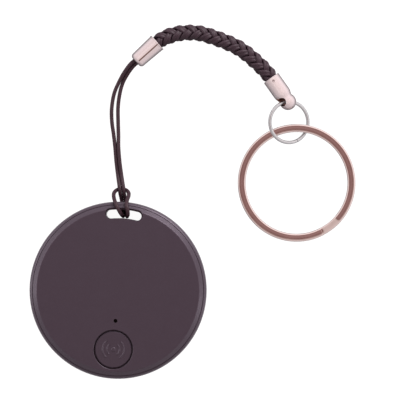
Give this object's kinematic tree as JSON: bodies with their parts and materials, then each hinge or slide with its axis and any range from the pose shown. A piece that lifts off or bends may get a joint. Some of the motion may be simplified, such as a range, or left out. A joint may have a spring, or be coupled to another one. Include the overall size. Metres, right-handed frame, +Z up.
{
  "type": "bluetooth tracker tag",
  "caption": "Round flat tracker tag with a push button and a slot, on a cord strap with a braided grip, a jump ring and a split key ring.",
  "frame": {"origin": "centre of the round tag, on the surface that it lies on", "axes": "+Z up, out of the front cover; +Y from the push button to the lanyard slot; the strap is laid out beyond the slot and curves round towards +X"},
  "size_m": [0.0806, 0.0916, 0.0095],
  "materials": {
    "shell_plastic": "fine matte texture",
    "button_plastic": "fine matte texture",
    "white_plastic": "moulded",
    "tin_plate": "satin",
    "board_laminate": "solder resist",
    "chip_resin": "moulded",
    "white_ceramic": "fired",
    "passive_ceramic": "fired",
    "buzzer_brass": "satin",
    "foam_tape": "soft",
    "gold_plate": "plated",
    "cell_steel": "brushed",
    "screw_steel": "zinc plated",
    "seal_rubber": "soft",
    "cord_nylon": "twisted filament",
    "braid_nylon": "plump round braid",
    "bright_nickel": "polished",
    "wire_nickel": "polished",
    "ring_nickel": "polished"
  },
  "bodies": {
    "tag": {"rear_case": "shell_plastic", "front_cover": "shell_plastic", "switch_body": "tin_plate", "circuit_board": "board_laminate", "radio_chip": "chip_resin", "crystal": "tin_plate", "chip_antenna": "white_ceramic", "passives": "passive_ceramic", "status_led": "white_plastic", "buzzer_disc": "buzzer_brass", "buzzer_ceramic": "white_ceramic", "buzzer_adhesive": "foam_tape", "buzzer_springs": "gold_plate", "coin_cell": "cell_steel", "cell_holder": "white_plastic", "positive_contact": "gold_plate", "negative_contact": "gold_plate", "board_screws": "screw_steel", "cord_loop": "cord_nylon", "loop_ferrule": "bright_nickel", "braided_cord": "braid_nylon", "end_cap": "bright_nickel"},
    "push_button": {"button_cap": "button_plastic", "switch_plunger": "white_plastic"},
    "back_door": {"battery_door": "shell_plastic", "door_seal": "seal_rubber"},
    "small_ring": {"jump_ring": "wire_nickel"},
    "large_ring": {"key_ring": "ring_nickel"}
  },
  "joints": [
    {"name": "button_press", "type": "slide", "parent": "tag", "child": "push_button", "axis": [0, 0, -1], "range_m": [0, 0.0003], "stiffness_N_per_m": 2000, "springref_m": -0.0003},
    {"name": "battery_door_turn", "type": "hinge", "parent": "tag", "child": "back_door", "pos_m": [0, 0, 0], "axis": [0, 0, 1], "range_deg": [0, 30]},
    {"name": "jump_ring_swing", "type": "hinge", "parent": "tag", "child": "small_ring", "pos_m": [0.03929, 0.0512, 0.0025], "axis": [-0.9305, -0.1392, 0.3387], "range_deg": [0, 100]},
    {"name": "key_ring_swing", "type": "hinge", "parent": "small_ring", "child": "large_ring", "pos_m": [0.04035, 0.04375, 0.00203], "axis": [-0.951, -0.309, -0.013], "range_deg": [0, 90]}
  ]
}
